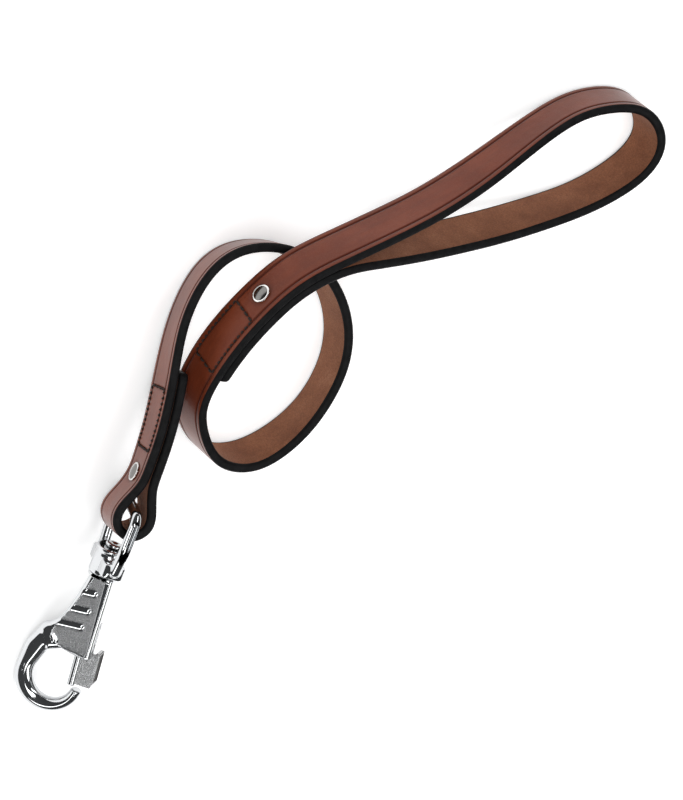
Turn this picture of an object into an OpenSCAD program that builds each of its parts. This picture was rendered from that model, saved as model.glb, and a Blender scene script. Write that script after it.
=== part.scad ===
// A leather training leash: a hand loop, a riveted and sewn strap laid in a curl, and a swivel bolt snap.
// Millimetres, +Z up. The leash lies on the plane z = 0. +X runs from the hand loop towards the snap.

/* [Strap] */
// Width of the leather strip
strap_w = 20; // [18:0.5:20.5]
// Thickness of the leather
strap_t = 3.8; // [3:0.1:3.8]
// Air left between the two layers where the strip is doubled back
layer_gap = 0.2; // [0.1:0.1:0.4]
// Chamfer along the strip's four edges
edge_chamfer = 0.8; // [0.4:0.1:1.2]

/* [Stitching] */
// Width of each sewn box, measured across the strap
box_w = 13.4; // [11:0.2:14.4]
// Stitches along each long side of a box
long_stitches = 12; // [8:1:14]
// Stitches along each short side of a box
short_stitches = 4; // [3:1:6]
// Radius of the thread
thread_r = 0.32; // [0.2:0.02:0.4]

/* [Rivets] */
// Diameter of each rivet's cap and of its post's foot
rivet_d = 7.6; // [6:0.2:9]
// Height of the cap's dome
rivet_dome = 1.2; // [0.8:0.1:1.6]
// Diameter of the rivet's post
rivet_post_d = 3; // [2.4:0.1:3.6]

/* [Swivel eye] */
// Clear width between the eye's legs
eye_gap = 22.4; // [22.2:0.2:24]
// Diameter of the eye's bar and legs
eye_rod_d = 4.4; // [3.6:0.2:4.4]
// Distance from the middle of the bar to the snap's collar
eye_reach = 30.5; // [29.5:0.5:32]
// Diameter of the swivel stud's shaft
stud_d = 4; // [3.6:0.1:4.4]
// Radial running clearance of the stud in the eye
stud_clearance = 0.07; // [0.03:0.01:0.1]

/* [Snap] */
// Thickness of the snap's body
body_thick = 8; // [7:0.5:9]
// Thickness of the claw
claw_thick = 7; // [6:0.5:8]
// Radius of the claw's outer arc
claw_r = 14.1; // [13.5:0.1:14.5]
// Radius of the mouth inside the claw
mouth_r = 8.1; // [7.5:0.1:8.6]
// Depth of the panel sunk into each broad face of the body
panel_depth = 0.8; // [0.4:0.1:1]
// Roll of the snap out of the eye's plane, in degrees
snap_roll = 60; // [-90:1:90]

/* [Bolt] */
// Diameter of the sliding bolt
bolt_d = 3; // [2.6:0.1:3.4]
// Radial running clearance of the bolt in its bore
bolt_clearance = 0.06; // [0.03:0.01:0.1]
// Wire diameter of the bolt's spring
spring_wire = 0.4; // [0.3:0.05:0.45]
// Turns of the bolt's spring
spring_turns = 8; // [6:1:9]

/* [Hidden] */
$fn = 48;

// The outer layer's route, chosen by hand: x, y, height of the lower edge, and lean in degrees.
// A positive lean tips the top edge towards the flesh side. It runs from the sewn root of the hand loop,
// round the loop, back through the handle seam, once round the curl and over to the snap.
route = [
    [-46, -14, 17, -14], [-60.5, -0.5, 11.5, -15], [-76, 12, 7, -16], [-92, 23.5, 4, -17],
    [-109, 34, 1.5, -15], [-124.5, 42.5, 0, -13], [-139.5, 47, 0, -15], [-153, 48.5, 0, -15],
    [-163.5, 44.5, 0, -8], [-167.5, 34, 0, 0], [-165, 24.5, 0, 5], [-156.5, 16, 0, 7],
    [-144, 8, 1, 5], [-124.5, 3, 4, 7], [-101.5, -1.5, 8, 14], [-77.5, -9, 13.5, 15],
    [-56.5, -18.5, 18, 16], [-37, -27.5, 21.5, 17], [-19.5, -34, 22, 18], [-2.5, -34, 20.5, 16],
    [16, -30, 16.5, 16], [31.5, -23, 11.5, 14], [43.5, -14.5, 7, 9], [49.5, -1, 3, 6],
    [51.5, 13.5, 0.5, 0], [45, 23, 0, -9], [36, 28.5, 0, -12], [21.5, 31, 0, -6],
    [6, 29.5, 0, 0], [-11, 22, 0, -2], [-22.5, 9, 0, -5], [-28, -8, 0, -7],
    [-27, -25, 0, -11], [-18.5, -39, 0, -14], [-6.5, -48, 0, -15], [8, -48.5, 0, -12],
    [25.5, -41, 1, -11], [41, -30, 4.5, -4], [57.5, -18, 8.5, -5], [72.5, -9.5, 10.5, -8]];
last = len(route) - 1;
// The fold round the eye's bar, from the middle between the layers: along, across, lean in degrees.
fold = [[6.5, 2, -9], [13, 4.3, -12], [19.5, 7.2, -11], [25.5, 6.4, -4], [29.6, 0, 6],
    [25.5, -6.4, 12], [19.5, -7.5, 10], [13, -4.6, 8], [6.5, -2, 8]];
// The inner layers lie along these points of the route: the handle's seam and the snap's seam.
handle_tail = [22, 21, 20, 19, 18, 17];
snap_tail = [39, 38, 37, 36];
// Distance from the last point of the route to the eye's bar.
bar_along = 17;
// How far the bar lies off the middle of the fold, towards the outer layer.
bar_aside = 0.6;
// How far the eye sits along its bar from the middle of the strap's width.
bar_lift = -0.2;
// Where each seam and rivet lies, counted in points of the route.
handle_box = [19.42, 20.84];
snap_box = [37.39, 38.72];
handle_rivet_at = 18.92;
snap_rivet_at = 39.7;

function unit(v) = v / norm(v);
// Position, travel, width and outward direction of a strip that passes p along t and leans.
function strip_axes(p, t, lean) =
    let (side = unit([t.y, -t.x, 0]), raw = [0, 0, cos(lean)] - side * sin(lean),
        w = unit(raw - (raw * t) * t))
    [p, t, w, cross(t, w)];
// A point of the route as the strip's centre, with its lean.
function centre(i) =
    let (r = route[i])
    [r[0], r[1], r[2] + strap_w / 2 * cos(r[3]) + strap_t / 2 * abs(sin(r[3])), r[3]];
function place(k) = [k[0], k[1], k[2]];
function along(i) = unit(place(centre(min(i + 1, last))) - place(centre(i - 1)));
// The other layer's centre beside a point of the route. It travels the other way, so its lean changes sign.
function inner(i) =
    let (c = centre(i), a = strip_axes(place(c), along(i), c[3]),
        p = a[0] - (strap_t + layer_gap) * a[3])
    [p.x, p.y, p.z, -c[3]];
function level(v) = unit([v.x, v.y, 0]);
end_axes = strip_axes(place(centre(last)), level(along(last)), centre(last)[3]);
end_middle = end_axes[0] - (strap_t + layer_gap) / 2 * end_axes[3];
function fold_point(f) =
    let (p = end_middle + f[0] * end_axes[1] + f[1] * end_axes[3])
    [p.x, p.y, p.z, f[2]];
knots = concat([for (i = handle_tail) inner(i)], [for (i = [0:last]) centre(i)],
    [for (f = fold) fold_point(f)], [for (i = snap_tail) inner(i)]);
// Number of the knot that is the first point of the route.
first = len(handle_tail);
// Axes at u on the smooth curve that the knots pull: u counts points of the route.
function strap_at(u) =
    let (k = u + first, i = min(max(floor(k), 1), len(knots) - 3), s = k - i,
        weight = [pow(1 - s, 3), 3 * s * s * s - 6 * s * s + 4, -3 * s * s * s + 3 * s * s + 3 * s + 1,
            s * s * s] / 6,
        slope = [-(1 - s) * (1 - s), 3 * s * s - 4 * s, -3 * s * s + 2 * s + 1, s * s] / 2,
        c = [for (j = [0:3]) knots[i - 1 + j]],
        p = c[0] * weight[0] + c[1] * weight[1] + c[2] * weight[2] + c[3] * weight[3],
        d = c[0] * slope[0] + c[1] * slope[1] + c[2] * slope[2] + c[3] * slope[3])
    strip_axes(place(p), unit(place(d)), p[3]);
strap_start = 1 - first;
strap_end = len(knots) - 2 - first;
fold_start = last;
fold_end = last + len(fold) + 1;

// Sides between rings of n points each. A closed sweep joins its last ring to its first.
function skin(rings, n, closed) =
    [for (i = [0:rings - (closed ? 1 : 2)], j = [0:n - 1], half = [0, 1])
        let (a = i * n + j, b = i * n + (j + 1) % n,
            c = ((i + 1) % rings) * n + j, d = ((i + 1) % rings) * n + (j + 1) % n)
        half == 0 ? [a, b, d] : [a, d, c]];
module sweep(rings, closed = false) {
    n = len(rings[0]);
    count = len(rings);
    caps = closed ? [] : [[for (j = [n - 1:-1:0]) j], [for (j = [0:n - 1]) (count - 1) * n + j]];
    polyhedron(points = [for (r = rings, p = r) p], faces = concat(skin(count, n, closed), caps),
        convexity = 8);
}
// Moves its children so that X, Y and Z lie along a, b and c, with their origin at p.
module set_on(p, a, b, c) {
    multmatrix([[a.x, b.x, c.x, p.x], [a.y, b.y, c.y, p.y], [a.z, b.z, c.z, p.z], [0, 0, 0, 1]])
        children();
}

// The strip's section, with a small chamfer on each corner.
function strap_ring(u) =
    let (f = strap_at(u), hw = strap_w / 2, ht = strap_t / 2, e = edge_chamfer)
    [for (q = [[hw - e, ht], [hw, ht - e], [hw, e - ht], [hw - e, -ht],
            [e - hw, -ht], [-hw, e - ht], [-hw, ht - e], [e - hw, ht]])
        f[0] + q[0] * f[2] + q[1] * f[3]];
// Two rings to a knot, and three round the fold.
strap_stops = concat([for (u = [strap_start:0.5:fold_start - 0.5]) u],
    [for (u = [fold_start:1 / 3:fold_end - 0.01]) u], [for (u = [fold_end:0.5:strap_end]) u]);
module rivet_on(u) {
    f = strap_at(u);
    set_on(f[0], f[1], f[2], f[3]) children();
}
// Height of the inner layer's far face, below the outer layer's middle.
back_face = -1.5 * strap_t - layer_gap;
module rivet_hole(u) {
    rivet_on(u)
        translate([0, 0, back_face - 1])
            cylinder(d = rivet_post_d, h = 2 * strap_t + layer_gap + 2);
}
module strap() {
    color("saddlebrown")
        difference() {
            sweep([for (u = strap_stops) strap_ring(u)]);
            rivet_hole(handle_rivet_at);
            rivet_hole(snap_rivet_at);
        }
}

// About how far apart two points of the route are.
point_gap = 17.9;
// A place on a sewn box: k counts stitches round it. Returns the share along it and the place across it.
box_stitches = 2 * (long_stitches + short_stitches);
function box_place(k) =
    let (m = (k + box_stitches) % box_stitches, half = long_stitches + short_stitches, r = m % half,
        side = m < half ? 1 : -1,
        a = r < long_stitches ? r / long_stitches : 1,
        b = r < long_stitches ? 0.5 : 0.5 - (r - long_stitches) / short_stitches)
    side == 1 ? [a, b * box_w] : [1 - a, -b * box_w];
// One small square section of thread. It dips into the leather at each hole.
function thread_ring(box, k, face, out) =
    let (q = box_place(k), before = box_place(k - 0.2), after = box_place(k + 0.2),
        span = (box[1] - box[0]) * point_gap,
        f = strap_at(box[0] + q[0] * (box[1] - box[0])),
        run = unit((after[0] - before[0]) * span * f[1] + (after[1] - before[1]) * f[2]),
        lift = k == floor(k) ? -0.9 : 0.12,
        c = f[0] + q[1] * f[2] + (face + out * lift) * f[3],
        across = cross(f[3], run))
    [c + thread_r * across, c + thread_r * f[3], c - thread_r * across, c - thread_r * f[3]];
module thread(box, face, out) {
    color("#2a1a14")
        sweep([for (i = [0:box_stitches - 1], part = [0, 0.25, 0.75])
            thread_ring(box, i + part, face, out)], closed = true);
}
module handle_needle_thread() {
    thread(handle_box, strap_t / 2, 1);
}
module handle_bobbin_thread() {
    thread(handle_box, back_face, -1);
}
module hook_needle_thread() {
    thread(snap_box, strap_t / 2, 1);
}
module hook_bobbin_thread() {
    thread(snap_box, back_face, -1);
}

// A low dome on a thin rim.
module rivet_button() {
    rim = 0.4;
    ball = (rivet_d * rivet_d / 4 + rivet_dome * rivet_dome) / 2 / rivet_dome;
    cylinder(d = rivet_d, h = rim);
    translate([0, 0, rim])
        intersection() {
            cylinder(d = rivet_d, h = rivet_dome);
            translate([0, 0, rivet_dome - ball])
                sphere(r = ball, $fn = 96);
        }
}
module rivet_cap(u) {
    color("silver")
        rivet_on(u)
            translate([0, 0, strap_t / 2])
                rivet_button();
}
module rivet_post(u, back) {
    color("gray")
        rivet_on(u)
            union() {
                translate([0, 0, back])
                    mirror([0, 0, 1])
                        rivet_button();
                translate([0, 0, back])
                    cylinder(d = rivet_post_d, h = strap_t / 2 - back);
            }
}
module handle_rivet_cap() {
    rivet_cap(handle_rivet_at);
}
module handle_rivet_post() {
    rivet_post(handle_rivet_at, back_face - 0.1);
}
module hook_rivet_cap() {
    rivet_cap(snap_rivet_at);
}
module hook_rivet_post() {
    // The layers begin to part here.
    rivet_post(snap_rivet_at, back_face - 0.7);
}

// The snap hangs in the fold by its eye's bar and points a little past the strap, nearly level.
snap_heading = 32;
snap_pitch = -4.4;
snap_dir = [cos(snap_pitch) * cos(snap_heading), cos(snap_pitch) * sin(snap_heading), sin(snap_pitch)];
bar_dir = unit(end_axes[2] - (end_axes[2] * snap_dir) * snap_dir);
eye_side = cross(bar_dir, snap_dir);
bar_centre = end_middle + bar_along * end_axes[1] - bar_aside * eye_side + bar_lift * bar_dir;
collar_centre = bar_centre + eye_reach * snap_dir;
// The body's own plane: X down the snap, Y towards the thumb piece, Z out of the broad face.
thumb_side = bar_dir * cos(snap_roll) + eye_side * sin(snap_roll);
broad_side = cross(snap_dir, thumb_side);
// Rod runs along X: the eye, the stud and the bolt are turned from Z.
module along_x() {
    rotate([0, 90, 0]) children();
}

// The eye: a round bar and two legs that close in a little towards a thick foot, with a boss that the
// stud turns in. Its plane holds the bar, along Y, and the snap's direction, X.
boss_d = 12.6;
boss_top = -11.5;
foot_top = -8;
collar_gap = 0.3;
leg_knee = -15;
leg_lean = 12;
module eye_leg() {
    bend = 5;
    half = (eye_gap + eye_rod_d) / 2;
    translate([-eye_reach + bend, half, 0])
        along_x()
            cylinder(d = eye_rod_d, h = leg_knee + eye_reach - bend);
    translate([leg_knee, half, 0]) {
        sphere(d = eye_rod_d);
        rotate([0, 0, -leg_lean])
            along_x()
                cylinder(d = eye_rod_d, h = foot_top - leg_knee + 2);
    }
    translate([-eye_reach + bend, half - bend, 0])
        rotate([0, 0, 90])
            rotate_extrude(angle = 90)
                translate([bend, 0])
                    circle(d = eye_rod_d);
    translate([-eye_reach, half - bend, 0])
        rotate([90, 0, 0])
            cylinder(d = eye_rod_d, h = half - bend);
}
module eye_foot() {
    foot_half = 11.8;
    foot_l = 5.6;
    foot_t = 9.2;
    corner = 2.4;
    translate([foot_top, -foot_half, corner - foot_t / 2])
        cube([foot_l, 2 * foot_half, foot_t - 2 * corner]);
    translate([foot_top, corner - foot_half, -foot_t / 2])
        cube([foot_l, 2 * (foot_half - corner), foot_t]);
    for (y = [-1, 1], z = [-1, 1])
        translate([foot_top, y * (foot_half - corner), z * (foot_t / 2 - corner)])
            along_x()
                cylinder(r = corner, h = foot_l);
}
module swivel_eye() {
    color("silver")
        set_on(collar_centre, snap_dir, bar_dir, cross(snap_dir, bar_dir))
            difference() {
                union() {
                    eye_leg();
                    mirror([0, 1, 0])
                        eye_leg();
                    eye_foot();
                    translate([boss_top, 0, 0])
                        along_x()
                            cylinder(d = boss_d, h = -collar_gap - boss_top);
                }
                translate([boss_top - 1, 0, 0])
                    along_x()
                        cylinder(d = stud_d + 2 * stud_clearance, h = 2 - boss_top);
            }
}
stud_depth = 6;
module swivel_stud() {
    head_d = 6.8;
    head_h = 1.6;
    head_top = boss_top - 0.2 - head_h;
    color("gray")
        set_on(collar_centre, snap_dir, thumb_side, broad_side)
            union() {
                translate([head_top, 0, 0])
                    along_x()
                        cylinder(d = head_d, h = head_h);
                translate([head_top, 0, 0])
                    along_x()
                        cylinder(d = stud_d, h = stud_depth - head_top);
            }
}

// The bolt's line leans 6 degrees out of the body's long axis. Its own X starts at the bolt's free end.
bolt_lean = 6;
bolt_foot = [47.2, 4.05];
bolt_l = 20;
bolt_travel = 12;
spring_room = 16.3;
slot_half = 1.3;
body_end = 34.5;
module bolt_line() {
    translate([bolt_foot.x, bolt_foot.y, 0])
        rotate([0, 0, bolt_lean])
            children();
}
module body_outline() {
    polygon([[0, -4.3], [6.5, -5.2], [13.8, -6.6], [20.8, -8.3], [23.2, -9.5], [26.8, -12.4],
        [29.5, -15], [37.5, -9.4], [body_end, -4], [body_end, 7.7], [0, 5.3]]);
}
module claw_outline() {
    difference() {
        hull() {
            translate([47.6, -4.9])
                circle(r = claw_r, $fn = 96);
            translate([39.5, -9.4])
                circle(r = 9.3);
            translate([29.5, -12])
                circle(r = 3);
        }
        hull() {
            translate([47.3, -3.5])
                circle(r = mouth_r, $fn = 72);
            translate([38.5, -6.3])
                circle(r = 3);
        }
        tip = 47.9;
        translate([20, -6])
            square([tip - 20, 30]);
    }
}
// The sunk panel of each broad face, with three short ribs left standing in it.
module panel_outline() {
    difference() {
        polygon([[1.5, -1.6], [4.9, -2.4], [12.9, -4.4], [20.4, -7.1], [25, -9], [30.5, -9.8],
            [33, -8.2], [33.3, 5.6], [31.5, 5.9], [1.5, 2.6]]);
        rib_w = 3.4;
        for (rib = [[9.1, -4.3, 4.6], [17.2, -6.3, 6.6], [24.7, -9, 9.1]])
            translate([rib[0], rib[1]])
                rotate([0, 0, 12]) {
                    translate([-rib_w / 2, -1])
                        square([rib_w, rib[2] + 1]);
                    translate([0, rib[2]])
                        circle(d = rib_w);
                }
    }
}
module hook_body() {
    collar_d = 11.6;
    collar_h = 1.4;
    color("silver")
        set_on(collar_centre, snap_dir, thumb_side, broad_side)
            difference() {
                union() {
                    along_x()
                        cylinder(d = collar_d, h = collar_h);
                    translate([0, 0, -body_thick / 2])
                        linear_extrude(body_thick)
                            body_outline();
                    translate([0, 0, -claw_thick / 2])
                        linear_extrude(claw_thick)
                            claw_outline();
                }
                for (s = [0, 1])
                    mirror([0, 0, s])
                        translate([0, 0, body_thick / 2 - panel_depth])
                            linear_extrude(2)
                                panel_outline();
                translate([-1, 0, 0])
                    along_x()
                        cylinder(d = stud_d, h = stud_depth + 1);
                bolt_line() {
                    translate([-bolt_l - spring_room, 0, 0])
                        along_x()
                            cylinder(d = bolt_d + 2 * bolt_clearance, h = spring_room + 10);
                    slot_top = 27.6;
                    translate([-slot_top, 0, -slot_half])
                        cube([slot_top - 8, 20, 2 * slot_half]);
                }
            }
}
module bolt_rod() {
    color("silver")
        set_on(collar_centre, snap_dir, thumb_side, broad_side)
            bolt_line()
                translate([-bolt_l, 0, 0])
                    along_x()
                        cylinder(d = bolt_d, h = bolt_l);
}
// The thumb piece: a thin web through the body's slot and a plate outside it.
module thumb_piece() {
    web_half = 1;
    web_top = 15;
    web_l = 14;
    plate_out = 7.3;
    plate_t = 1.7;
    plate_w = 7.6;
    plate_top = 16.6;
    plate_l = 13.2;
    color("dimgray")
        set_on(collar_centre, snap_dir, thumb_side, broad_side)
            bolt_line()
                difference() {
                    union() {
                        translate([-web_top, 1, -web_half])
                            cube([web_l, plate_out - 0.5, 2 * web_half]);
                        translate([-plate_top, plate_out, -plate_w / 2])
                            cube([plate_l, plate_t, plate_w]);
                    }
                    translate([-bolt_l, 0, 0])
                        along_x()
                            cylinder(d = bolt_d, h = bolt_l + 1);
                }
}
function spring_ring(turn, pitch, r) =
    let (a = 360 * turn, out = [0, cos(a), sin(a)])
    [for (b = [0:60:300]) [turn * pitch, 0, 0] + (r + spring_wire / 2 * cos(b)) * out
        + [spring_wire / 2 * sin(b), 0, 0]];
module bolt_spring() {
    end_gap = 0.1;
    coil_r = 1.15;
    length = spring_room - 2 * end_gap - spring_wire;
    color("gray")
        set_on(collar_centre, snap_dir, thumb_side, broad_side)
            bolt_line()
                translate([-bolt_l - spring_room + end_gap + spring_wire / 2, 0, 0])
                    sweep([for (i = [0:12 * spring_turns])
                        spring_ring(i / 12, length / spring_turns, coil_r)]);
}

strap();
handle_needle_thread();
handle_bobbin_thread();
hook_needle_thread();
hook_bobbin_thread();
handle_rivet_cap();
handle_rivet_post();
hook_rivet_cap();
hook_rivet_post();
swivel_eye();
swivel_stud();
hook_body();
bolt_rod();
thumb_piece();
bolt_spring();
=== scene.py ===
"""Looks of a leather training leash: a sewn and riveted strap with a hand loop and a swivel bolt snap.

The shapes are worked out in millimetres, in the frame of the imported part, and become metres in mesh_piece().
"""
import math

import bpy
import numpy as np
from mathutils import Euler, Matrix, Vector
from mathutils.kdtree import KDTree


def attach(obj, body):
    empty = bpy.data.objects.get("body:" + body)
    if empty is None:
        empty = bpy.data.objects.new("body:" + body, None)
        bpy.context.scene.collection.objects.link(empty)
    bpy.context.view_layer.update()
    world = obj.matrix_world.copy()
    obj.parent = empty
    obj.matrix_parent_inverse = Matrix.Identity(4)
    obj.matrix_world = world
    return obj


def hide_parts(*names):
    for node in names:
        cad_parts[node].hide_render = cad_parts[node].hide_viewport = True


MM = 0.001
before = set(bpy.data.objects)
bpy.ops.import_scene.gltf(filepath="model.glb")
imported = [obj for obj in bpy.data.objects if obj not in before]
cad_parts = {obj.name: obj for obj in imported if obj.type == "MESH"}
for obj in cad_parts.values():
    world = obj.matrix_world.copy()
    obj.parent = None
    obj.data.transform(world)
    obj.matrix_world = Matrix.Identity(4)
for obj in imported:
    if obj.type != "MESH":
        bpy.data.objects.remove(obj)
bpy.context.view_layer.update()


# ---------------------------------------------------------------- camera

def make_camera():
    """A long lens above the leash, turned so that the hand loop is up and to the right."""
    azimuth, elevation, roll = (math.radians(a) for a in (7.35, 58.2, 131.05))
    target, distance = Vector((-0.003, 0.043, 0)), 2.0
    turn = Euler((math.pi / 2 - elevation, 0, azimuth)).to_matrix() @ Matrix.Rotation(roll, 3, "Z")
    data = bpy.data.cameras.new("camera")
    data.lens = 228.6
    data.sensor_width = 36
    data.clip_end = 20
    camera = bpy.data.objects.new("camera", data)
    camera.matrix_world = Matrix.Translation(target + turn @ Vector((0, 0, distance))) @ turn.to_4x4()
    bpy.context.scene.collection.objects.link(camera)
    bpy.context.scene.camera = camera


make_camera()

# ---------------------------------------------------------------- the strap's route, as in the CAD part

STRAP_W, STRAP_T, LAYER_GAP = 20.0, 3.8, 0.2
# x, y, height of the lower edge, and lean in degrees.
ROUTE = [
    (-46, -14, 17, -14), (-60.5, -0.5, 11.5, -15), (-76, 12, 7, -16), (-92, 23.5, 4, -17),
    (-109, 34, 1.5, -15), (-124.5, 42.5, 0, -13), (-139.5, 47, 0, -15), (-153, 48.5, 0, -15),
    (-163.5, 44.5, 0, -8), (-167.5, 34, 0, 0), (-165, 24.5, 0, 5), (-156.5, 16, 0, 7),
    (-144, 8, 1, 5), (-124.5, 3, 4, 7), (-101.5, -1.5, 8, 14), (-77.5, -9, 13.5, 15),
    (-56.5, -18.5, 18, 16), (-37, -27.5, 21.5, 17), (-19.5, -34, 22, 18), (-2.5, -34, 20.5, 16),
    (16, -30, 16.5, 16), (31.5, -23, 11.5, 14), (43.5, -14.5, 7, 9), (49.5, -1, 3, 6),
    (51.5, 13.5, 0.5, 0), (45, 23, 0, -9), (36, 28.5, 0, -12), (21.5, 31, 0, -6),
    (6, 29.5, 0, 0), (-11, 22, 0, -2), (-22.5, 9, 0, -5), (-28, -8, 0, -7),
    (-27, -25, 0, -11), (-18.5, -39, 0, -14), (-6.5, -48, 0, -15), (8, -48.5, 0, -12),
    (25.5, -41, 1, -11), (41, -30, 4.5, -4), (57.5, -18, 8.5, -5), (72.5, -9.5, 10.5, -8)]
LAST = len(ROUTE) - 1
# Along, across and lean round the eye's bar.
FOLD = [
    (6.5, 2, -9), (13, 4.3, -12), (19.5, 7.2, -11), (25.5, 6.4, -4), (29.6, 0, 6),
    (25.5, -6.4, 12), (19.5, -7.5, 10), (13, -4.6, 8), (6.5, -2, 8)]
# The two doubled ends lie beside these points of the route.
HANDLE_TAIL = [22, 21, 20, 19, 18, 17]
SNAP_TAIL = [39, 38, 37, 36]
# Where each seam and rivet lies, counted in points of the route.
HANDLE_BOX, SNAP_BOX = (19.42, 20.84), (37.39, 38.72)
HANDLE_RIVET_AT, SNAP_RIVET_AT = 18.92, 39.7
BOX_W = 13.4
LONG_STITCHES, SHORT_STITCHES = 12, 4
STITCHES = 2 * (LONG_STITCHES + SHORT_STITCHES)
# The inner layer's far face, in the outer layer's own axes.
BACK_FACE = -1.5 * STRAP_T - LAYER_GAP


def unit(v):
    """v, or each of its rows, with a length of 1."""
    return v / np.linalg.norm(v, axis=-1, keepdims=True)


def strip_axes(p, t, lean):
    """Position, travel, width and outward direction of a strip that passes p along t and leans."""
    lean = np.radians(lean)[..., None]
    side = unit(np.stack([t[..., 1], -t[..., 0], 0 * t[..., 0]], -1))
    raw = np.concatenate([0 * lean, 0 * lean, np.cos(lean)], -1) - side * np.sin(lean)
    w = unit(raw - (raw * t).sum(-1, keepdims=True) * t)
    return p, t, w, np.cross(t, w)


def centre(i):
    """A point of the route as the strip's centre, with its lean."""
    x, y, z, lean = ROUTE[i]
    a = math.radians(lean)
    return np.array([x, y, z + STRAP_W / 2 * math.cos(a) + STRAP_T / 2 * abs(math.sin(a)), lean])


def along(i):
    """The route's direction at a point, from its neighbours."""
    return unit(centre(min(i + 1, LAST))[:3] - centre(i - 1)[:3])


def inner(i):
    """Centre and lean of the layer behind a point of the route, which travels the other way."""
    c = centre(i)
    axes = strip_axes(c[:3], along(i), c[3])
    return np.append(axes[0] - (STRAP_T + LAYER_GAP) * axes[3], -c[3])


def level(v):
    """The direction of v, made level."""
    return unit(np.array([v[0], v[1], 0]))


END_AXES = strip_axes(centre(LAST)[:3], level(along(LAST)), centre(LAST)[3])
END_MIDDLE = END_AXES[0] - (STRAP_T + LAYER_GAP) / 2 * END_AXES[3]
KNOTS = np.array(
    [inner(i) for i in HANDLE_TAIL] + [centre(i) for i in range(LAST + 1)]
    + [np.append(END_MIDDLE + f[0] * END_AXES[1] + f[1] * END_AXES[3], f[2]) for f in FOLD]
    + [inner(i) for i in SNAP_TAIL])
FIRST = len(HANDLE_TAIL)
STRAP_START = 1 - FIRST
STRAP_END = len(KNOTS) - 2 - FIRST


def strap_at(u):
    """Axes at u on the smooth curve that the knots pull. u counts points of the route."""
    k = np.asarray(u, float) + FIRST
    i = np.clip(np.floor(k).astype(int), 1, len(KNOTS) - 3)
    s = k - i
    weight = [(1 - s) ** 3, 3 * s**3 - 6 * s**2 + 4, -3 * s**3 + 3 * s**2 + 3 * s + 1, s**3]
    slope = [-(1 - s) ** 2, 3 * s**2 - 4 * s, -3 * s**2 + 2 * s + 1, s**2]
    p = sum(KNOTS[i - 1 + j] * (weight[j] / 6)[..., None] for j in range(4))
    d = sum(KNOTS[i - 1 + j] * (slope[j] / 2)[..., None] for j in range(4))
    return strip_axes(p[..., :3], unit(d[..., :3]), p[..., 3])


# The snap hangs in the fold by its eye's bar.
HEADING, PITCH, ROLL = math.radians(32), math.radians(-4.4), math.radians(60)
SNAP_DIR = np.array([
    math.cos(PITCH) * math.cos(HEADING), math.cos(PITCH) * math.sin(HEADING), math.sin(PITCH)])
BAR_DIR = unit(END_AXES[2] - (END_AXES[2] @ SNAP_DIR) * SNAP_DIR)
EYE_SIDE = np.cross(BAR_DIR, SNAP_DIR)
EYE_REACH = 30.5
BAR_ALONG, BAR_ASIDE, BAR_LIFT = 17, 0.6, -0.2
BAR_CENTRE = END_MIDDLE + BAR_ALONG * END_AXES[1] - BAR_ASIDE * EYE_SIDE + BAR_LIFT * BAR_DIR
COLLAR = BAR_CENTRE + EYE_REACH * SNAP_DIR
THUMB_SIDE = BAR_DIR * math.cos(ROLL) + EYE_SIDE * math.sin(ROLL)
BROAD_SIDE = np.cross(SNAP_DIR, THUMB_SIDE)
BODY_AXES = (COLLAR, SNAP_DIR, THUMB_SIDE, BROAD_SIDE)
EYE_AXES = (COLLAR, SNAP_DIR, BAR_DIR, np.cross(SNAP_DIR, BAR_DIR))


# ---------------------------------------------------------------- node helpers

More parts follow.
